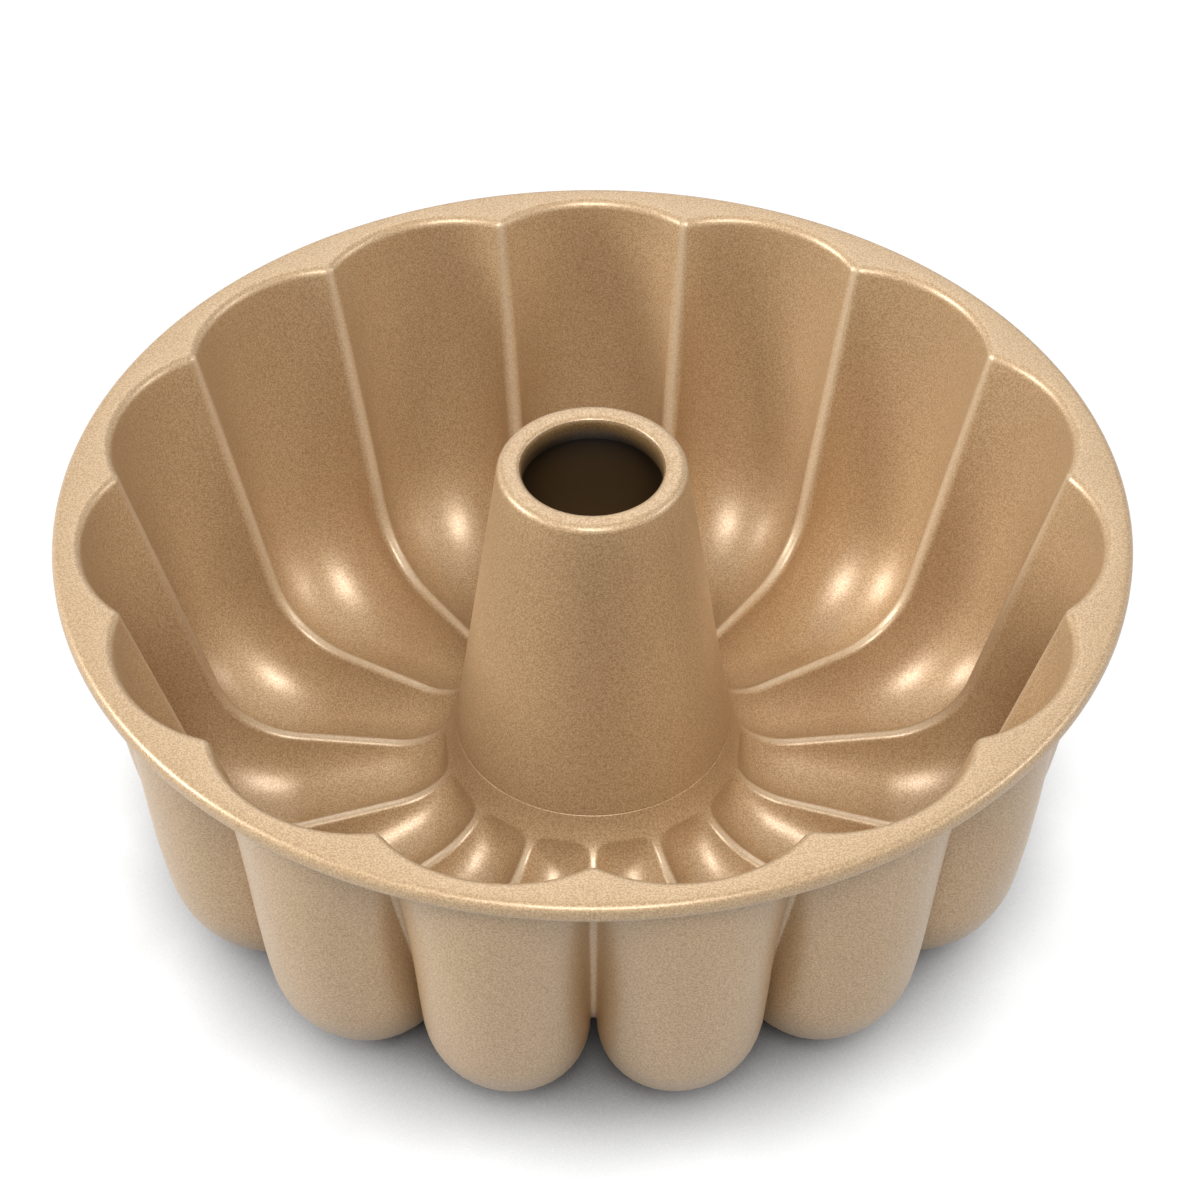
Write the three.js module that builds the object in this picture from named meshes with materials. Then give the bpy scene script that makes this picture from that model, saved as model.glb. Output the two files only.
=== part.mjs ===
// Fluted ring cake pan: a pressed sheet mould, a tapered centre tube and a wire in the rolled rim.
// Millimetres, +Z up. The origin is under the tube, on the plane that the pan stands on.
// The pieces are drawn with z = 0 at the top of the rim, a flute on +Y and a ridge on -Y.
import * as THREE from 'three';

const { degToRad, radToDeg, clamp } = THREE.MathUtils;
const UP = new THREE.Vector3(0, 0, 1);

// Sheet and fits
const SHEET = 1.2; // wall of the mould and of the tube
const FIT_GAP = 0.3; // clearance between neighbouring pieces

// Rim
const RIM_RADIUS = 130; // outer edge of the bead
const WIRE_RADIUS = 1; // wire rolled into the bead
const BEAD_BEND = 0.7; // inside bend of the bead's corners
const BEAD_SPACE = 0.6; // free space between the bead and the flutes
const FLANGE_BEND = 1.2; // inside bend from the flange to the wall

// Wall, floor and flutes
const FLUTES = 15;
const CAVITY_DEPTH = 85.3; // rim to the ridges on the floor
const RIDGE_DRAFT = degToRad(16); // lean of the ridges
const FLUTE_DRAFT = degToRad(4.5); // lean of the flute bottoms
const CORNER_RADIUS = 21.4; // ridges between the wall and the floor
const FLUTE_DEPTH = 6.2; // ridge to flute bottom at the rim
const FLOOR_FLUTE_SLOPE = 0.326; // gain in flute depth with the radius, on the floor
const FOOT_FLUTE_DEPTH = 1.6; // flute depth that this slope would leave at the tube
const RIDGE_BAND = 2.8; // flat width along a ridge
const FLUTE_END = 8; // length over which a flute closes near the tube
const FOOT_LAND = 7; // plain band between the flutes and the tube
const STANDING_FLAT = 0.4; // flattening under each flute
const STANDING_LENGTH = 3; // length of the flat along the sheet

// Tube and its seam
const TUBE_RISE = 13.5; // lip above the rim
const TUBE_BORE_RADIUS = 17.1;
const LIP_WIDTH = 5.7; // bore to the outside of the lip
const LIP_BEND = 0.8; // inside bend at the outer edge of the lip
const SKIRT_BEND = 0.4; // inside bend at the edge of the bore
const SKIRT_LENGTH = 6; // turned-in edge inside the bore
const TUBE_FOOT_RADIUS = 35;
const TUBE_FOOT_DEPTH = 71; // rim to the seam
const FOOT_EDGE = 0.8; // bevel round the foot
const FOOT_TURN = 6.2; // turned-in foot that the seam grips
const SEAM_LAP = 3; // fold over the turned-in foot

// Fineness of the mesh
const FLUTE_COLUMNS = [-1, -0.65, -0.24, 0.24, 0.65, 1]; // across a flute, 1 at the edge of the ridge
const TUBE_SEGMENTS = 60;
const WIRE_SEGMENTS = 90;
const WIRE_SIDES = 8;

// Derived sizes
const halfPitch = Math.PI / FLUTES;
const beadHalf = SHEET + FIT_GAP + WIRE_RADIUS;
const beadRadius = RIM_RADIUS - beadHalf;
const fluteTopRadius = RIM_RADIUS - 2 * beadHalf - BEAD_SPACE - SHEET;
const ridgeTopRadius = fluteTopRadius - FLUTE_DEPTH;
const flangeBend = FLANGE_BEND + SHEET;
const tubeTopRadius = TUBE_BORE_RADIUS + LIP_WIDTH;
const tubeSlope = Math.atan2(TUBE_FOOT_RADIUS - tubeTopRadius, TUBE_FOOT_DEPTH + TUBE_RISE);
const seamHeight = -TUBE_FOOT_DEPTH;
const turnEdge = TUBE_FOOT_RADIUS - FOOT_TURN;

const coat = new THREE.MeshStandardMaterial({ color: 0xb59674, roughness: 0.42, metalness: 0.75 });
const wireSteel = new THREE.MeshStandardMaterial({ color: 0x9a9a96, roughness: 0.35, metalness: 1 });

// Points on an arc of a section, angles in degrees
function arc(x, y, radius, from, to, steps) {
  return Array.from({ length: steps + 1 }, (_, step) => {
    const angle = degToRad(from + ((to - from) * step) / steps);
    return new THREE.Vector2(x + radius * Math.cos(angle), y + radius * Math.sin(angle));
  });
}

// Even steps from one length to another, without the first
function spread(from, to, steps) {
  return Array.from({ length: steps }, (_, step) => from + ((to - from) * (step + 1)) / steps);
}

// The ridges in section: down the wall, round the corner, over the floor and up to the tube
function ridgeLine() {
  const wallDepth = CAVITY_DEPTH - CORNER_RADIUS * (1 - Math.sin(RIDGE_DRAFT));
  const wallEndRadius = ridgeTopRadius - wallDepth * Math.tan(RIDGE_DRAFT);
  const cornerX = wallEndRadius - CORNER_RADIUS * Math.cos(RIDGE_DRAFT);
  const footRadius = (CAVITY_DEPTH - TUBE_FOOT_DEPTH) / (1 - Math.sin(tubeSlope));
  const footX = TUBE_FOOT_RADIUS + footRadius * Math.cos(tubeSlope);
  const line = new THREE.CurvePath();
  const wallTop = new THREE.Vector2(ridgeTopRadius, 0);
  const wallFoot = new THREE.Vector2(wallEndRadius, -wallDepth);
  const [floorOuter, floorInner] = [cornerX, footX].map((x) => new THREE.Vector2(x, -CAVITY_DEPTH));
  const bend = (x, radius, from, to) =>
    new THREE.EllipseCurve(x, radius - CAVITY_DEPTH, radius, radius, from, to, true);
  line.add(new THREE.LineCurve(wallTop, wallFoot));
  line.add(bend(cornerX, CORNER_RADIUS, -RIDGE_DRAFT, -Math.PI / 2));
  line.add(new THREE.LineCurve(floorOuter, floorInner));
  line.add(bend(footX, footRadius, -Math.PI / 2, tubeSlope - Math.PI));
  return line;
}

const ridge = ridgeLine();
const [wallEnd, cornerEnd, floorEnd, ridgeEnd] = ridge.getCurveLengths();
const bendEnd = (flangeBend * (1 - Math.sin(RIDGE_DRAFT))) / Math.cos(RIDGE_DRAFT);
const closingStart = ridgeEnd - FOOT_LAND - FLUTE_END;

// Depth of a flute under the ridges: set by the drafts on the wall and by its slope on the floor
function fluteDepth(radius, height) {
  const onWall = FLUTE_DEPTH - height * (Math.tan(RIDGE_DRAFT) - Math.tan(FLUTE_DRAFT));
  const onFloor = FOOT_FLUTE_DEPTH + FLOOR_FLUTE_SLOPE * (radius - TUBE_FOOT_RADIUS);
  const blend = 6;
  return (onWall ** -blend + onFloor ** -blend) ** (-1 / blend);
}

// A point of the cake side, by its length along the ridge line and its angle from the middle of a flute
function cakeSide(length, angle) {
  const at = ridge.getPoint(length / ridgeEnd);
  const along = ridge.getTangent(length / ridgeEnd);
  const halfWidth = at.x * halfPitch - RIDGE_BAND / 2;
  const closing = clamp((length - closingStart) / FLUTE_END, 0, 1) * halfWidth;
  const across = Math.min(((at.x * angle) ** 4 + closing ** 4) ** 0.25, halfWidth);
  const depth = fluteDepth(at.x, at.y);
  const fluteRadius = (halfWidth ** 2 + depth ** 2) / (2 * depth);
  const sink = depth - fluteRadius + Math.sqrt(fluteRadius ** 2 - across ** 2);
  const radius = at.x - along.y * sink;
  return new THREE.Vector3(radius * Math.sin(angle), radius * Math.cos(angle), at.y + along.x * sink);
}

// The direction out of the cake side, from its slopes along and across the sheet
function cakeNormal(length, angle) {
  const reach = 0.2;
  const turn = reach / ridge.getPoint(length / ridgeEnd).x;
  const along = cakeSide(Math.min(length + reach, ridgeEnd), angle).sub(cakeSide(length - reach, angle));
  const across = cakeSide(length, angle + turn).sub(cakeSide(length, angle - turn));
  return along.cross(across).normalize();
}

// The angle of a column from the middle of its flute, where the ridge line has the given radius
function columnAngle(column, radius) {
  return column * (halfPitch - RIDGE_BAND / 2 / radius);
}

// A point of the sheet under the cake side by a thickness
function sheetPoint(length, column, thickness) {
  const angle = columnAngle(column, ridge.getPoint(length / ridgeEnd).x);
  return cakeSide(length, angle).addScaledVector(cakeNormal(length, angle), -thickness);
}

// A point of the bend between the wall and the flange, from the wall at 0 to the flange at 1
function bendPoint(turn, column, thickness) {
  const angle = columnAngle(column, ridge.getPoint(bendEnd / ridgeEnd).x);
  const normal = cakeNormal(bendEnd, angle);
  const centre = cakeSide(bendEnd, angle).addScaledVector(normal, -flangeBend);
  const point = centre.addScaledVector(normal.lerp(UP, turn).normalize(), flangeBend - thickness);
  return turn === 1 ? point.setZ(-thickness) : point;
}

// A point of a plain turned band, on columns that match the ridge line at the given radius
function turnedPoint(section, column, radius) {
  const angle = columnAngle(column, radius);
  return new THREE.Vector3(section.x * Math.sin(angle), section.x * Math.cos(angle), section.y);
}

// A closed ring of points: every flute has the same columns
function ring(pointAt) {
  const flutes = Array.from({ length: FLUTES }, (_, flute) => -2 * halfPitch * flute);
  return flutes.flatMap((turn) => FLUTE_COLUMNS.map((column) => pointAt(column).applyAxisAngle(UP, turn)));
}

// A closed body from rings in order round its section
function ringBody(rings) {
  const count = rings[0].length;
  const faces = rings.flatMap((_, row) => {
    const next = (row + 1) % rings.length;
    return Array.from({ length: count }, (__, column) => {
      const beside = (column + 1) % count;
      const [a, b] = [row * count + column, row * count + beside];
      const [c, d] = [next * count + column, next * count + beside];
      return [a, c, b, b, c, d];
    }).flat();
  });
  const geometry = new THREE.BufferGeometry().setFromPoints(rings.flat());
  geometry.setIndex(faces);
  geometry.computeVertexNormals();
  return geometry;
}

// The fold inside the foot that grips the tube, from the cake side round to the underside
function seamSection() {
  const foldOuter = turnEdge - FIT_GAP;
  const foldInner = foldOuter - SHEET;
  const foldUnder = seamHeight + SHEET + 2 * FIT_GAP;
  return [
    new THREE.Vector2(foldOuter, seamHeight),
    new THREE.Vector2(foldOuter, foldUnder),
    new THREE.Vector2(foldOuter + SEAM_LAP, foldUnder),
    new THREE.Vector2(foldOuter + SEAM_LAP, foldUnder + SHEET),
    new THREE.Vector2(foldInner, foldUnder + SHEET),
    new THREE.Vector2(foldInner, seamHeight - SHEET),
  ];
}

// The rolled bead, from under the flange round the wire and back to the top of the flange
function beadSection() {
  const reach = WIRE_RADIUS + FIT_GAP - BEAD_BEND;
  const outside = BEAD_BEND + SHEET;
  const [inner, outer] = [beadRadius - reach, beadRadius + reach];
  const [lower, upper] = [-beadHalf - reach, -beadHalf + reach];
  return [
    ...arc(outer, upper, BEAD_BEND, 90, 0, 1),
    ...arc(outer, lower, BEAD_BEND, 0, -90, 1),
    ...arc(inner, lower, BEAD_BEND, -90, -180, 1),
    new THREE.Vector2(inner - BEAD_BEND, -beadHalf),
    new THREE.Vector2(inner - outside, -beadHalf),
    ...arc(inner, lower, outside, -180, -90, 2),
    ...arc(outer, lower, outside, -90, 0, 2),
    ...arc(outer, upper, outside, 0, 90, 3),
  ];
}

// The flats under the flutes, on both sides of the place where the flutes reach lowest
const undersideHeight = (length) => sheetPoint(length, FLUTE_COLUMNS[2], SHEET).z;
const lower = (one, other) => (undersideHeight(one) < undersideHeight(other) ? one : other);
const lowest = spread(wallEnd, floorEnd, 100).reduce(lower);
const flatStart = lowest - STANDING_LENGTH / 2;
const flatEnd = flatStart + STANDING_LENGTH;
const standing = undersideHeight(lowest) + STANDING_FLAT;

// Lengths along the ridge line where the sheet has a ring of points
const sheetLengths = [
  bendEnd,
  ...spread(bendEnd, wallEnd, 2),
  ...spread(wallEnd, flatStart, 3),
  flatEnd,
  cornerEnd,
  floorEnd,
  ...spread(floorEnd, closingStart, 2),
  ...[0.5, 0.8, 1].map((share) => closingStart + share * FLUTE_END),
].sort((a, b) => a - b);

// Mould: flange, fluted wall and floor, foot and folded seam, all one sheet
function flutedMould() {
  const bends = [1, 0.5];
  const face = (lengths, thickness) => [
    ...bends.map((turn) => ring((column) => bendPoint(turn, column, thickness))),
    ...lengths.map((length) => ring((column) => sheetPoint(length, column, thickness))),
  ];
  const top = face([...sheetLengths, ridgeEnd], 0);
  const underside = face([...sheetLengths, ridgeEnd - SHEET], SHEET).reverse();
  underside.flat().forEach((point) => point.setZ(Math.max(point.z, standing)));
  const seam = seamSection().map((at) => ring((column) => turnedPoint(at, column, TUBE_FOOT_RADIUS)));
  const bead = beadSection().map((at) => ring((column) => turnedPoint(at, column, ridgeTopRadius)));
  return new THREE.Mesh(ringBody([...top, ...seam, ...underside, ...bead]), coat);
}

// Tube: tapered wall, lip turned into the bore at the top, foot turned in under it
function centreTube() {
  const base = seamHeight + FIT_GAP;
  const slope = radToDeg(tubeSlope);
  const outsideAt = (height) => TUBE_FOOT_RADIUS - (height - seamHeight) * Math.tan(tubeSlope);
  const insideAt = (height) => outsideAt(height) - SHEET / Math.cos(tubeSlope);
  const lipRadius = LIP_BEND + SHEET;
  const lipHeight = TUBE_RISE - lipRadius;
  const lipX = outsideAt(lipHeight) - lipRadius / Math.cos(tubeSlope);
  const skirtRadius = SKIRT_BEND + SHEET;
  const [skirtX, skirtHeight] = [TUBE_BORE_RADIUS + skirtRadius, TUBE_RISE - skirtRadius];
  const section = [
    new THREE.Vector2(turnEdge, base),
    new THREE.Vector2(outsideAt(base) - FOOT_EDGE, base),
    new THREE.Vector2(outsideAt(base + FOOT_EDGE), base + FOOT_EDGE),
    ...arc(lipX, lipHeight, lipRadius, slope, 90, 3),
    ...arc(skirtX, skirtHeight, skirtRadius, 90, 180, 3),
    new THREE.Vector2(TUBE_BORE_RADIUS, TUBE_RISE - SKIRT_LENGTH),
    new THREE.Vector2(TUBE_BORE_RADIUS + SHEET, TUBE_RISE - SKIRT_LENGTH),
    ...arc(skirtX, skirtHeight, SKIRT_BEND, 180, 90, 2),
    ...arc(lipX, lipHeight, LIP_BEND, 90, slope, 2),
    new THREE.Vector2(insideAt(base + SHEET), base + SHEET),
    new THREE.Vector2(turnEdge, base + SHEET),
  ];
  const geometry = new THREE.LatheGeometry([...section, section[0]], TUBE_SEGMENTS);
  return new THREE.Mesh(geometry.rotateX(Math.PI / 2), coat);
}

// Wire: a steel ring that stiffens the rim inside its bead
function rimWire() {
  const geometry = new THREE.TorusGeometry(beadRadius, WIRE_RADIUS, WIRE_SIDES, WIRE_SEGMENTS);
  const mesh = new THREE.Mesh(geometry, wireSteel);
  mesh.position.z = -beadHalf;
  return mesh;
}

const pan = new THREE.Group();
const pieces = { fluted_mould: flutedMould(), centre_tube: centreTube(), rim_wire: rimWire() };
for (const [name, mesh] of Object.entries(pieces)) {
  mesh.name = name;
  pan.add(mesh);
}
pan.position.z = -standing;

export default pan;
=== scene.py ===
# Fluted ring cake pan: the looks of its pressed mould, the wire in its rim and its centre tube
import math

import bpy
import numpy as np
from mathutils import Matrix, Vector


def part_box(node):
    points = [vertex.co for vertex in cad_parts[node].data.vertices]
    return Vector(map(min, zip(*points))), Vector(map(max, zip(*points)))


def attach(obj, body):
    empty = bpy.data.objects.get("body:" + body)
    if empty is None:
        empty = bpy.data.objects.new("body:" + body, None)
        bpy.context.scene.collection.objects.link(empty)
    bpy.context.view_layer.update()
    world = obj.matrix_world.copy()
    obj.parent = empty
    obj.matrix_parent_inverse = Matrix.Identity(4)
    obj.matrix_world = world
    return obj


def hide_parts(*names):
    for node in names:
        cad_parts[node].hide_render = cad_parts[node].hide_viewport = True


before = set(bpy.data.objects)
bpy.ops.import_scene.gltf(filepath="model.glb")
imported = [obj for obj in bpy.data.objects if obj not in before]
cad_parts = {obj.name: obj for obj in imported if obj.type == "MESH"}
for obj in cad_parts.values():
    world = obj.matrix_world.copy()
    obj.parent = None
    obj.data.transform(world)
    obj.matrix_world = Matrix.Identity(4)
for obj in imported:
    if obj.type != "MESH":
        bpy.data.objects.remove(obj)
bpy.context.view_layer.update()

# Fluted mould
# One aluminium sheet, pressed into fifteen flutes round a raised foot. Its flange is rolled round
# a wire at the rim, and its middle is folded over the foot of the tube. All of it is coated.

# Sizes are in mm, and heights are taken from the top of the rim
MM = 0.001
mould_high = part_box("fluted_mould")[1]
rim_radius = min(mould_high.x, mould_high.y) / MM
rim_height = mould_high.z / MM
SHEET = 1.2
FIT_GAP = 0.3
WIRE_RADIUS = 1.0
BEAD_BEND = 0.7
BEAD_SPACE = 0.6
FLANGE_BEND = 2.4
FLUTES = 15
CAVITY_DEPTH = 85.3
RIDGE_DRAFT = math.radians(16)
FLUTE_DRAFT = math.radians(4.5)
CORNER_RADIUS = 21.4
FLUTE_DEPTH = 6.2
FLOOR_FLUTE_SLOPE = 0.326
FOOT_FLUTE_DEPTH = 1.6
RIDGE_FLAT = 0.6
RIM_RIDGE_EDGE = 2.7
FLOOR_RIDGE_EDGE = 1.4
FLUTE_END = 8.0
END_POWER = 4
DEPTH_POWER = 6
FOOT_LAND = 7.0
FOOT_BEND = 0.3
TUBE_RISE = 13.5
BORE_RADIUS = 17.1
LIP_WIDTH = 5.7
TUBE_FOOT_RADIUS = 35.0
TUBE_FOOT_DEPTH = 71.0
FOOT_TURN = 6.2
SEAM_LAP = 3.0

half_pitch = math.pi / FLUTES
bead_half = SHEET + FIT_GAP + WIRE_RADIUS
bead_radius = rim_radius - bead_half
ridge_top_radius = rim_radius - 2 * bead_half - BEAD_SPACE - SHEET - FLUTE_DEPTH
tube_slope = math.atan2(TUBE_FOOT_RADIUS - BORE_RADIUS - LIP_WIDTH, TUBE_FOOT_DEPTH + TUBE_RISE)
foot_radius = (CAVITY_DEPTH - TUBE_FOOT_DEPTH) / (1 - math.sin(tube_slope))

wall_depth = CAVITY_DEPTH - CORNER_RADIUS * (1 - math.sin(RIDGE_DRAFT))
wall_length = wall_depth / math.cos(RIDGE_DRAFT)
corner_length = CORNER_RADIUS * (math.pi / 2 - RIDGE_DRAFT)
wall_end_radius = ridge_top_radius - wall_depth * math.tan(RIDGE_DRAFT)
floor_outer = wall_end_radius - CORNER_RADIUS * math.cos(RIDGE_DRAFT)
floor_inner = TUBE_FOOT_RADIUS + foot_radius * math.cos(tube_slope)
floor_start = wall_length + corner_length
foot_start = floor_start + floor_outer - floor_inner
ridge_length = foot_start + foot_radius * (math.pi / 2 - tube_slope)
closing_start = ridge_length - FOOT_LAND - FLUTE_END


def ridge_line(length):
    """Radius, height and lean of the ridges, by the length from the rim down to the tube"""
    wall = np.minimum(length, wall_length)
    corner = np.clip((length - wall_length) / CORNER_RADIUS, 0, math.pi / 2 - RIDGE_DRAFT)
    floor = np.clip(length - floor_start, 0, foot_start - floor_start)
    foot = np.maximum(length - foot_start, 0) / foot_radius
    bent = RIDGE_DRAFT + corner
    radius = ridge_top_radius - wall * math.sin(RIDGE_DRAFT) - floor - foot_radius * np.sin(foot)
    radius = radius + CORNER_RADIUS * (np.cos(bent) - math.cos(RIDGE_DRAFT))
    height = foot_radius * (1 - np.cos(foot)) - wall * math.cos(RIDGE_DRAFT)
    height = height - CORNER_RADIUS * (np.sin(bent) - math.sin(RIDGE_DRAFT))
    return radius, height, bent + foot


def flute_shape(length):
    """Half width and depth of a flute and the rounds of its hollow and ridges, at a length along them"""
    radius, height = ridge_line(length)[:2]
    on_wall = FLUTE_DEPTH - height * (math.tan(RIDGE_DRAFT) - math.tan(FLUTE_DRAFT))
    on_floor = FOOT_FLUTE_DEPTH + FLOOR_FLUTE_SLOPE * (radius - TUBE_FOOT_RADIUS)
    depth = (on_wall ** -DEPTH_POWER + on_floor ** -DEPTH_POWER) ** (-1 / DEPTH_POWER)
    half_width = radius * half_pitch - RIDGE_FLAT / 2
    edge = np.interp(length, [0, floor_start], [RIM_RIDGE_EDGE, FLOOR_RIDGE_EDGE])
    hollow = (half_width ** 2 + depth ** 2) / (2 * depth) - edge
    return half_width, depth, hollow, edge


def cake_side(length, angle):
    """Points of the inside, by length along the ridges and angle from the middle of a flute"""
    radius, height, lean = ridge_line(length)
    half_width, depth, hollow, ridge = flute_shape(length)
    closing = np.clip((length - closing_start) / FLUTE_END, 0, 1) * half_width
    across = ((radius * angle) ** END_POWER + closing ** END_POWER) ** (1 / END_POWER)
    across = np.minimum(across, half_width)
    in_hollow = across < half_width * hollow / (hollow + ridge)
    bottom = depth - hollow + np.sqrt(np.maximum(hollow ** 2 - across ** 2, 0))
    edge = ridge - np.sqrt(np.maximum(ridge ** 2 - (half_width - across) ** 2, 0))
    sink = np.where(in_hollow, bottom, edge)
    out = radius + np.cos(lean) * sink
    return np.stack([out * np.sin(angle), out * np.cos(angle), height - np.sin(lean) * sink], -1)


def cake_normal(length, angle):
    """Direction out of the inside of the sheet, from its slopes along and across a flute"""
    reach = 0.05
    turn = reach / ridge_line(length)[0]
    along = cake_side(length + reach, angle) - cake_side(length - reach, angle)
    across = cake_side(length, angle + turn) - cake_side(length, angle - turn)
    normal = np.cross(along, across)
    return normal / np.linalg.norm(normal, axis=-1, keepdims=True)


HOLLOW_STEPS = 24
EDGE_STEPS = 8
BEND_STEPS = 8
WALL_STEPS = 22
CORNER_STEPS = 22
FLOOR_STEPS = 16
END_STEPS = 22
FOOT_STEPS = 3
BEND_ROUNDS = 12
hollow_share = np.linspace(-1, 1, HOLLOW_STEPS + 1)
edge_share = np.linspace(1, 0, EDGE_STEPS + 1)[1:]


def column_angles(length):
    """Angles of the columns across one flute: even steps round its hollow and round its ridges"""
    half_width, depth, hollow, ridge = (value[..., None] for value in flute_shape(length))
    flank = np.arcsin(half_width / (hollow + ridge))
    bottom = hollow * np.sin(flank * hollow_share)
    edge = half_width - ridge * np.sin(flank * edge_share)
    offsets = np.concatenate([-edge[..., ::-1], bottom, edge], -1)
    return offsets / ridge_line(length)[0][..., None]


def spread(start, end, steps):
    """Even steps from one value to another, without the first"""
    return np.linspace(start, end, steps + 1)[1:]


def arc(x, y, radius, start, end, steps):
    """Points on an arc of a section, angles in degrees"""
    angles = np.radians(np.linspace(start, end, steps + 1))
    return [(x + radius * math.cos(a), y + radius * math.sin(a)) for a in angles]


def turned(section, angles):
    """Rings of points of a turned band, one for each point of its section"""
    section = np.array(section)[:, None]
    radius, height = section[..., 0], section[..., 1]
    return np.stack([radius * np.sin(angles), radius * np.cos(angles), height + 0 * angles], -1)


def ring_body(name, rings):
    """A closed smooth body of rings in order round its section, drawn in mm from the rim's top"""
    rows, columns = rings.shape[:2]
    points = (rings + [0, 0, rim_height]) * MM
    index = np.arange(rows * columns).reshape(rows, columns)
    below, beside = np.roll(index, -1, 0), np.roll(index, -1, 1)
    corner = np.roll(below, -1, 1)
    faces = np.stack([index, below, corner, beside], -1).reshape(-1, 4)
    mesh = bpy.data.meshes.new(name)
    mesh.from_pydata(points.reshape(-1, 3).tolist(), [], faces.tolist())
    mesh.shade_smooth()
    piece = bpy.data.objects.new(name, mesh)
    bpy.context.scene.collection.objects.link(piece)
    return piece


# The flange bends into the wall where a round of the bend radius touches both
bend_length = np.full(2 * EDGE_STEPS + HOLLOW_STEPS + 1, FLANGE_BEND)
for bend_round in range(BEND_ROUNDS):
    bend_angle = np.diagonal(column_angles(bend_length))
    bend_normal = cake_normal(bend_length, bend_angle)
    bend_drop = cake_side(bend_length, bend_angle)[:, 2] - bend_normal[:, 2] * FLANGE_BEND
    bend_length = bend_length + (bend_drop + FLANGE_BEND) / math.cos(RIDGE_DRAFT)
bend_centre = cake_side(bend_length, bend_angle) - bend_normal * FLANGE_BEND

sheet_rows = np.concatenate([
    spread(0, wall_length, WALL_STEPS),
    spread(wall_length, floor_start, CORNER_STEPS),
    spread(floor_start, closing_start, FLOOR_STEPS),
    spread(closing_start, ridge_length - FOOT_LAND, END_STEPS),
])


def sheet_face(end, thickness):
    """Rings of one face of the sheet across one flute, from the flange to the foot of the tube"""
    bends = []
    for turn in np.linspace(1, 0, BEND_STEPS + 1):
        lean = bend_normal * (1 - turn) + np.array([0, 0, turn])
        lean = lean / np.linalg.norm(lean, axis=-1, keepdims=True)
        bends.append(bend_centre + lean * (FLANGE_BEND - thickness))
    faces = []
    for row in [*sheet_rows, *spread(sheet_rows[-1], end, FOOT_STEPS)]:
        lengths = np.maximum(row, bend_length + (row / wall_length) * (wall_length - bend_length))
        lengths = np.where(row < wall_length, lengths, row)
        angles = np.diagonal(column_angles(lengths))
        faces.append(cake_side(lengths, angles) - cake_normal(lengths, angles) * thickness)
    return np.array(bends + faces)


def all_flutes(rings):
    """Rings of one flute, copied round the pan"""
    turns = [np.array([[math.cos(a), -math.sin(a), 0], [math.sin(a), math.cos(a), 0], [0, 0, 1]])
             for a in 2 * half_pitch * np.arange(FLUTES)]
    return np.concatenate([rings @ turn for turn in turns], 1)


foot_lean = math.tan(tube_slope)
foot_edge_x = TUBE_FOOT_RADIUS + FOOT_BEND * foot_lean - FOOT_BEND / math.cos(tube_slope)
foot_edge_drop = FOOT_BEND * (1 - math.sin(tube_slope)) / math.cos(tube_slope)
under_edge_drop = SHEET * (1 - math.sin(tube_slope)) / math.cos(tube_slope)
seam_height = -TUBE_FOOT_DEPTH
fold_inside = SHEET / 2 + FIT_GAP
fold_x = TUBE_FOOT_RADIUS - FOOT_TURN - FIT_GAP + fold_inside
fold_height = seam_height + fold_inside
lap_x = fold_x - fold_inside + SEAM_LAP - SHEET / 2
lap_height = fold_height + fold_inside + SHEET / 2
slope_degrees = math.degrees(tube_slope)
seam_section = [
    *arc(foot_edge_x, seam_height - FOOT_BEND, FOOT_BEND, slope_degrees, 90, 6)[1:],
    *arc(fold_x, fold_height, fold_inside, -90, -270, 8),
    *arc(lap_x, lap_height, SHEET / 2, -90, 90, 6),
    *arc(fold_x, fold_height, fold_inside + SHEET, 90, 270, 12),
]

bead_reach = WIRE_RADIUS + FIT_GAP - BEAD_BEND
bead_outside = BEAD_BEND + SHEET
bead_in, bead_out = bead_radius - bead_reach, bead_radius + bead_reach
bead_low, bead_high = -bead_half - bead_reach, -bead_half + bead_reach
curl_end = (BEAD_BEND + bead_outside) / 2
bead_section = [
    *arc(bead_out, bead_high, BEAD_BEND, 90, 0, 4),
    *arc(bead_out, bead_low, BEAD_BEND, 0, -90, 4),
    *arc(bead_in, bead_low, BEAD_BEND, -90, -180, 4),
    *arc(bead_in - curl_end, -bead_half - SHEET / 2, SHEET / 2, 0, 180, 6),
    *arc(bead_in, bead_low, bead_outside, -180, -90, 7),
    *arc(bead_out, bead_low, bead_outside, -90, 0, 9),
    *arc(bead_out, bead_high, bead_outside, 0, 90, 9),
]

top_face = sheet_face(ridge_length - foot_edge_drop, 0)
under_face = sheet_face(ridge_length - under_edge_drop, SHEET)[::-1]
under_face[..., 2] = np.maximum(under_face[..., 2], -rim_height)
foot_angles = np.diagonal(column_angles(np.full(bend_length.shape, ridge_length)))
mould_rings = np.concatenate([
    top_face,
    turned(seam_section, foot_angles),
    under_face,
    turned(bead_section, bend_angle),
])
fluted_mould = ring_body("coated_mould", all_flutes(mould_rings))

# Painted highlight: the ridges of the inside are drawn paler, most on their crests, as if light ran
# along them
RIDGE_HIGHLIGHT_FALL = 1.5
crest = (1 - edge_share) ** RIDGE_HIGHLIGHT_FALL
across_ridge = np.concatenate([crest[::-1], 0 * hollow_share, crest])
along_ridge = np.concatenate([
    np.linspace(0, 1, BEND_STEPS + 1),
    np.interp(sheet_rows, [closing_start, sheet_rows[-1]], [1, 0]),
    np.zeros(FOOT_STEPS),
])
painted_ridge_highlight = np.zeros(mould_rings.shape[:2])
painted_ridge_highlight[:len(top_face)] = along_ridge[:, None] * across_ridge
ridge_highlight_attribute = fluted_mould.data.attributes.new("painted_ridge_highlight", "FLOAT", "POINT")
ridge_highlight_attribute.data.foreach_set("value", np.tile(painted_ridge_highlight, FLUTES).ravel())


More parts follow.
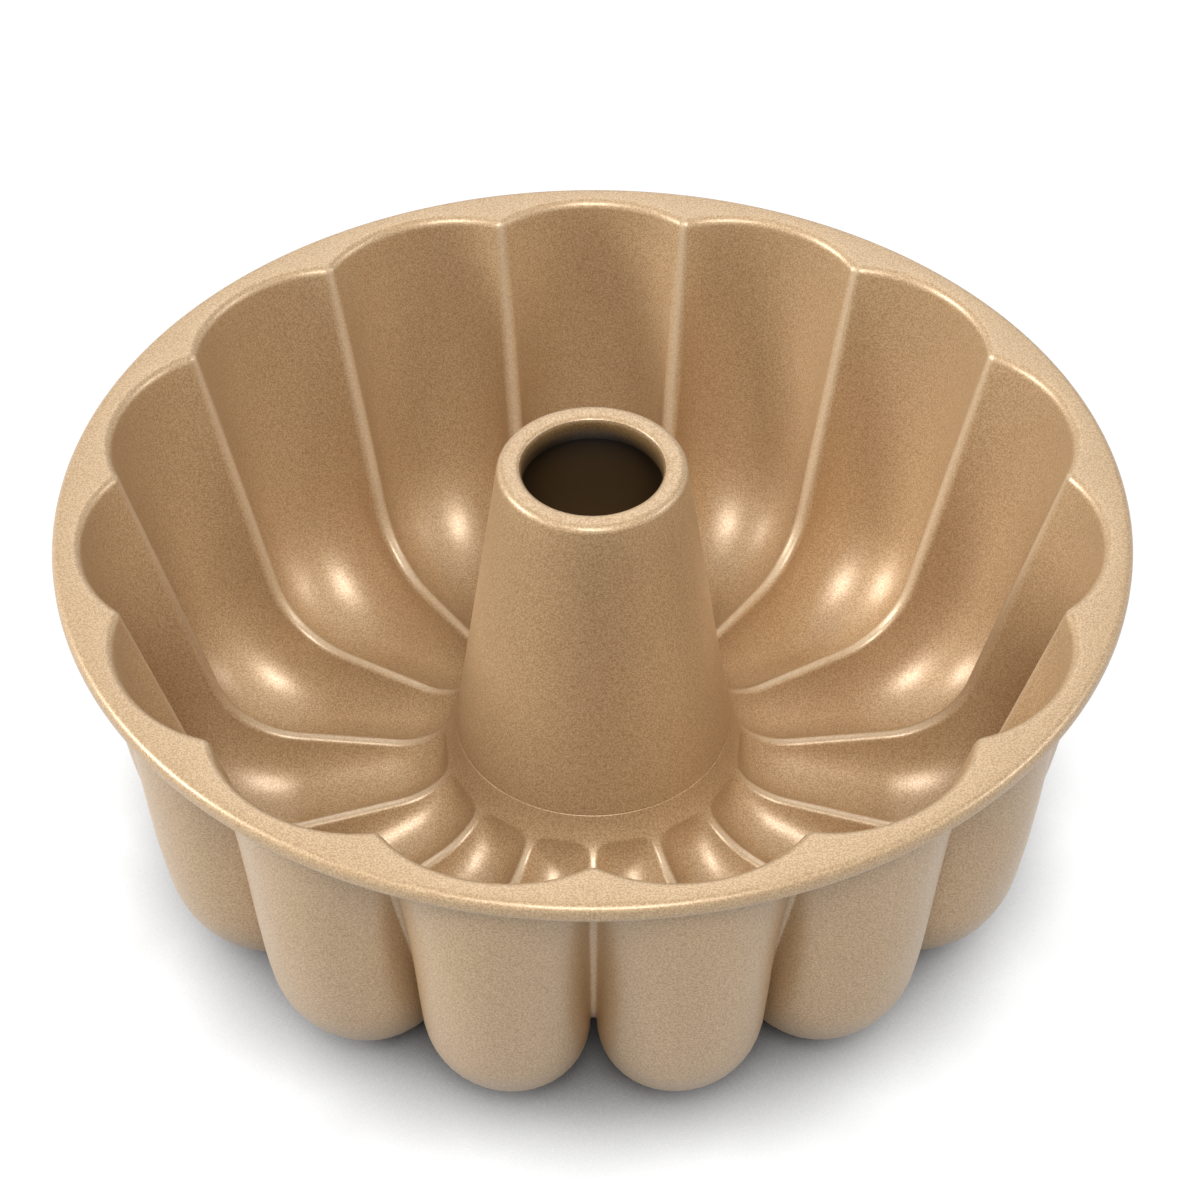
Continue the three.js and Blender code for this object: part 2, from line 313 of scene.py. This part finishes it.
def linear(colour):
    """Linear red, green, blue and alpha of an sRGB hex colour"""
    shares = [int(colour[place:place + 2], 16) / 255 for place in (1, 3, 5)]
    return [s / 12.92 if s <= 0.04045 else ((s + 0.055) / 1.055) ** 2.4 for s in shares] + [1]


def add_node(tree, kind, settings, links=()):
    """A node with its settings and the sockets that are linked into it"""
    node = tree.nodes.new(kind)
    for name, value in settings.items():
        if name in node.inputs:
            node.inputs[name].default_value = value
        else:
            setattr(node, name, value)
    for name, socket in dict(links).items():
        tree.links.new(socket, node.inputs[name])
    return node


def new_material(name):
    """A material with an empty node tree and its output"""
    material = bpy.data.materials.new(name)
    material.use_nodes = True
    material.node_tree.nodes.clear()
    output = add_node(material.node_tree, "ShaderNodeOutputMaterial", {})
    return material, material.node_tree, output


# Champagne non-stick coat: a sprayed and baked coat with fine metal flake on the aluminium.
# The eye sees a satin sheen that breaks up into a fine pebbled grain where the light falls, and
# paler lines along the ridges, which are painted highlights. The flake is drawn coarser than it is, so
# that it shows.

# Two cells of a noise make one grain, flake or cloud of these sizes
GRAIN = 0.8
FLAKE = 0.8
CLOUD = 45.0
PEBBLE_HEIGHT = 0.03
RIDGE_HIGHLIGHT_SHARE = 0.4
NOISE_LOW = 0.3
NOISE_HIGH = 0.7
coat, coat_tree, coat_output = new_material("champagne_non_stick_coat")
coat_place = add_node(coat_tree, "ShaderNodeTexCoord", {}).outputs["Object"]
grain = add_node(coat_tree, "ShaderNodeTexNoise",
                 {"Scale": 2 / (GRAIN * MM), "Detail": 1.5, "Roughness": 0.5, "Distortion": 0.6},
                 {"Vector": coat_place})
flake = add_node(coat_tree, "ShaderNodeTexNoise",
                 {"Scale": 2 / (FLAKE * MM), "Detail": 0.0}, {"Vector": coat_place})
cloud = add_node(coat_tree, "ShaderNodeTexNoise",
                 {"Scale": 2 / (CLOUD * MM), "Detail": 2.0}, {"Vector": coat_place})
tone = add_node(coat_tree, "ShaderNodeValToRGB", {}, {"Fac": flake.outputs["Fac"]})
tone.color_ramp.elements[0].position = NOISE_LOW
tone.color_ramp.elements[0].color = linear("#b08f68")
tone.color_ramp.elements[1].position = NOISE_HIGH
tone.color_ramp.elements[1].color = linear("#d0b38c")
# Painted highlight: the ridges are mixed towards a pale cream, up to this share, where light would run
# along them
ridge_highlight_mask = add_node(coat_tree, "ShaderNodeAttribute", {"attribute_name": "painted_ridge_highlight"})
ridge_highlight_share = add_node(coat_tree, "ShaderNodeMapRange", {"To Max": RIDGE_HIGHLIGHT_SHARE},
                 {"Value": ridge_highlight_mask.outputs["Fac"]})
coat_colour = add_node(coat_tree, "ShaderNodeMixRGB", {"Color2": linear("#ecdabd")},
                       {"Fac": ridge_highlight_share.outputs["Result"], "Color1": tone.outputs["Color"]})
sheen = add_node(coat_tree, "ShaderNodeMapRange",
                 {"From Min": NOISE_LOW, "From Max": NOISE_HIGH, "To Min": 0.36, "To Max": 0.42},
                 {"Value": cloud.outputs["Fac"]})
pebble = add_node(coat_tree, "ShaderNodeBump", {"Strength": 1.0, "Distance": PEBBLE_HEIGHT * MM},
                  {"Height": grain.outputs["Fac"]})
coat_shader = add_node(coat_tree, "ShaderNodeBsdfPrincipled",
                       {"Metallic": 0.2, "Specular IOR Level": 0.5, "Coat Weight": 0.3,
                        "Coat Roughness": 0.32, "Coat IOR": 1.6},
                       {"Base Color": coat_colour.outputs["Color"], "Roughness": sheen.outputs["Result"],
                        "Normal": pebble.outputs["Normal"], "Coat Normal": pebble.outputs["Normal"]})
coat_tree.links.new(coat_shader.outputs["BSDF"], coat_output.inputs["Surface"])

fluted_mould.data.materials.append(coat)
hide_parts("fluted_mould")
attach(fluted_mould, "root")

# Rim wire
# A ring of drawn steel wire that stiffens the rim. The bead of the mould is rolled round it and
# hides it.

# Drawn steel: wire pulled through a die. The eye would see a dull grey with fine marks.
DRAW_LINE = 0.4
wire_steel, wire_tree, wire_output = new_material("drawn_steel_wire")
wire_place = add_node(wire_tree, "ShaderNodeTexCoord", {}).outputs["Object"]
draw = add_node(wire_tree, "ShaderNodeTexNoise", {"Scale": 2 / (DRAW_LINE * MM), "Detail": 1.0},
                {"Vector": wire_place})
dull = add_node(wire_tree, "ShaderNodeMapRange", {"To Min": 0.3, "To Max": 0.45},
                {"Value": draw.outputs["Fac"]})
wire_shader = add_node(wire_tree, "ShaderNodeBsdfPrincipled",
                       {"Base Color": linear("#9a9a96"), "Metallic": 1.0},
                       {"Roughness": dull.outputs["Result"]})
wire_tree.links.new(wire_shader.outputs["BSDF"], wire_output.inputs["Surface"])
wire_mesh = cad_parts["rim_wire"].data
wire_mesh.materials.clear()
wire_mesh.materials.append(wire_steel)

# Centre tube
# A tapered aluminium tube in the same coat. Its lip is turned into the bore at the top, and its
# foot is turned in under it, where the fold of the mould grips it.
LIP_BEND = 0.8
SKIRT_BEND = 0.4
SKIRT_LENGTH = 6.0
FOOT_EDGE = 0.3
SEAM_GAP = 0.05
TUBE_SEGMENTS = 160
tube_base = seam_height + SEAM_GAP
turn_edge = TUBE_FOOT_RADIUS - FOOT_TURN
tube_wall = SHEET / math.cos(tube_slope)


def tube_outside(height):
    """Radius of the tube's outside at a height"""
    return TUBE_FOOT_RADIUS - (height - seam_height) * math.tan(tube_slope)


lip_radius = LIP_BEND + SHEET
lip_height = TUBE_RISE - lip_radius
lip_x = tube_outside(lip_height) - lip_radius / math.cos(tube_slope)
skirt_radius = SKIRT_BEND + SHEET
skirt_x = BORE_RADIUS + skirt_radius
skirt_height = TUBE_RISE - skirt_radius
edge_height = tube_base + FOOT_EDGE
edge_x = tube_outside(edge_height) - FOOT_EDGE / math.cos(tube_slope)
tube_section = [
    (turn_edge, tube_base),
    *arc(edge_x, edge_height, FOOT_EDGE, -90, slope_degrees, 6),
    *[(tube_outside(height), height) for height in spread(edge_height, lip_height, 12)[:-1]],
    *arc(lip_x, lip_height, lip_radius, slope_degrees, 90, 8),
    *arc(skirt_x, skirt_height, skirt_radius, 90, 180, 8),
    (BORE_RADIUS, TUBE_RISE - SKIRT_LENGTH),
    (BORE_RADIUS + SHEET, TUBE_RISE - SKIRT_LENGTH),
    *arc(skirt_x, skirt_height, SKIRT_BEND, 180, 90, 4),
    *arc(lip_x, lip_height, LIP_BEND, 90, slope_degrees, 4),
    (tube_outside(tube_base + SHEET) - tube_wall, tube_base + SHEET),
    (turn_edge, tube_base + SHEET),
]
tube_angles = np.linspace(0, 2 * math.pi, TUBE_SEGMENTS, endpoint=False)
centre_tube = ring_body("coated_tube", turned(tube_section, tube_angles))
centre_tube.data.materials.append(coat)

# Painted shade in the bore: the coat inside the tube is drawn darker away from the lip, as shade deepens
# down the narrow bore.
# The eye sees a dull brown that deepens away from the lip.
BORE_SHADE_DEPTH = 14.0
INWARD = -0.7
tube_top = rim_height + TUBE_RISE
bore_shade_coat, bore_tree, bore_output = new_material("coat_with_painted_bore_shade")
bore_place = add_node(bore_tree, "ShaderNodeTexCoord", {}).outputs["Object"]
bore_height = add_node(bore_tree, "ShaderNodeSeparateXYZ", {}, {"Vector": bore_place}).outputs["Z"]
bore_shade_share = add_node(bore_tree, "ShaderNodeMapRange",
                      {"From Min": (tube_top - BORE_SHADE_DEPTH) * MM, "From Max": tube_top * MM},
                      {"Value": bore_height})
bore_grain = add_node(bore_tree, "ShaderNodeTexNoise", {"Scale": 2 / (GRAIN * MM), "Detail": 1.5},
                      {"Vector": bore_place})
bore_shade_spread = add_node(bore_tree, "ShaderNodeMath", {"operation": "MULTIPLY"},
                       {0: bore_shade_share.outputs["Result"], 1: bore_grain.outputs["Fac"]})
bore_shade_tone = add_node(bore_tree, "ShaderNodeValToRGB", {}, {"Fac": bore_shade_spread.outputs["Value"]})
# Painted shade: deep brown down the bore, lighter brown near the lip
bore_shade_tone.color_ramp.elements[0].position = 0.1
bore_shade_tone.color_ramp.elements[0].color = linear("#4a351a")
bore_shade_tone.color_ramp.elements[1].position = 0.6
bore_shade_tone.color_ramp.elements[1].color = linear("#8f7048")
bore_shader = add_node(bore_tree, "ShaderNodeBsdfPrincipled", {"Roughness": 0.5},
                       {"Base Color": bore_shade_tone.outputs["Color"]})
bore_tree.links.new(bore_shader.outputs["BSDF"], bore_output.inputs["Surface"])
centre_tube.data.materials.append(bore_shade_coat)
# The faces that look towards the axis carry the painted bore shade
for face in centre_tube.data.polygons:
    if face.normal.xy.dot(face.center.xy.normalized()) < INWARD:
        face.material_index = 1

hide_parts("centre_tube")
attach(centre_tube, "root")

# Studio floor and surroundings
# A wide white card under the pan and a plain white room, as in a catalogue picture. Four soft
# lamps stand round it, the two strongest on the left and high in front. Sizes are in metres here.
FLOOR = 3.0
SHADOW_REACH = 0.04
CARD_GLOW = 0.92
floor_mesh = bpy.data.meshes.new("floor_card")
floor_mesh.from_pydata([(-FLOOR, -FLOOR, 0), (FLOOR, -FLOOR, 0), (FLOOR, FLOOR, 0), (-FLOOR, FLOOR, 0)],
                       [], [(0, 1, 2, 3)])
floor_card = bpy.data.objects.new("floor_card", floor_mesh)
bpy.context.scene.collection.objects.link(floor_card)


def shown_rays(tree):
    """1 for rays that show the surroundings to the camera, straight or through gloss or glass"""
    rays = add_node(tree, "ShaderNodeLightPath", {}).outputs
    shown = rays["Is Camera Ray"]
    for kind in ("Is Glossy Ray", "Is Transmission Ray"):
        either = add_node(tree, "ShaderNodeMath", {"operation": "MAXIMUM"}, {0: shown, 1: rays[kind]})
        shown = either.outputs["Value"]
    return shown


# White card: matt paper board. The eye sees plain white, with a soft shadow close to the pan.
# It glows evenly for the rays that show it, and the glow fades close under the pan, which paints a
# contact shadow there beside the lamps' own shadows.
card, card_tree, card_output = new_material("white_card")
card_shown = shown_rays(card_tree)
card_tone = add_node(card_tree, "ShaderNodeValToRGB", {}, {"Fac": card_shown})
card_tone.color_ramp.elements[0].color = linear("#9f9f9f")
card_tone.color_ramp.elements[1].color = linear("#6b6b6b")
# Painted shadow: the glow is cut where the pan lies close over the card
card_open = add_node(card_tree, "ShaderNodeAmbientOcclusion", {"samples": 8, "Distance": SHADOW_REACH})
card_glow_with_painted_shadow = add_node(card_tree, "ShaderNodeMapRange",
                    {"From Min": 0.2, "From Max": 0.75, "To Min": 0.0, "To Max": CARD_GLOW},
                    {"Value": card_open.outputs["AO"]})
card_glow = add_node(card_tree, "ShaderNodeMath", {"operation": "MULTIPLY"},
                     {0: card_glow_with_painted_shadow.outputs["Result"], 1: card_shown})
card_shader = add_node(card_tree, "ShaderNodeBsdfDiffuse", {}, {"Color": card_tone.outputs["Color"]})
card_light = add_node(card_tree, "ShaderNodeEmission", {}, {"Strength": card_glow.outputs["Value"]})
card_sum = add_node(card_tree, "ShaderNodeAddShader", {},
                    {0: card_shader.outputs["BSDF"], 1: card_light.outputs["Emission"]})
card_tree.links.new(card_sum.outputs["Shader"], card_output.inputs["Surface"])
floor_mesh.materials.append(card)

room = bpy.data.worlds.new("white_room")
bpy.context.scene.world = room
room.use_nodes = True
room.node_tree.nodes.clear()
white = add_node(room.node_tree, "ShaderNodeBackground", {"Color": linear("#ffffff")},
                 {"Strength": shown_rays(room.node_tree)})
add_node(room.node_tree, "ShaderNodeOutputWorld", {}, {"Surface": white.outputs["Background"]})

LAMP_WIDTH = 1.0
LAMP_AIM = Vector((0, 0, 0.05))


def soft_box(name, at, radiance):
    """A square soft light of an even brightness, turned to the pan"""
    lamp = bpy.data.lights.new(name, "AREA")
    lamp.size = LAMP_WIDTH
    lamp.energy = radiance * math.pi * LAMP_WIDTH ** 2
    box = bpy.data.objects.new(name, lamp)
    box.location = at
    box.rotation_euler = (LAMP_AIM - Vector(at)).to_track_quat("-Z", "Y").to_euler()
    bpy.context.scene.collection.objects.link(box)


soft_box("left_light", (-2.6, 0.0, 1.55), 23.0)
soft_box("front_light", (0.0, -1.8, 2.45), 19.5)
soft_box("right_light", (2.6, 0.0, 1.55), 7.8)
soft_box("back_light", (0.0, 2.12, 2.17), 2.7)

# Camera
# It stands in front of the pan and looks down into it, as in the photograph. A long lens keeps the
# rim's ellipse almost even.
LENS = 105.0
SENSOR = 36.0
CAMERA_PLACE = Vector((0, -0.6327, 0.6612))
CAMERA_AIM = Vector((0.0018, 0, 0.0707))
camera = bpy.data.objects.new("camera", bpy.data.cameras.new("camera"))
camera.data.lens = LENS
camera.data.sensor_width = SENSOR
camera.location = CAMERA_PLACE
camera.rotation_euler = (CAMERA_AIM - CAMERA_PLACE).to_track_quat("-Z", "Y").to_euler()
bpy.context.scene.collection.objects.link(camera)
bpy.context.scene.camera = camera
bpy.context.scene.view_settings.view_transform = "Standard"
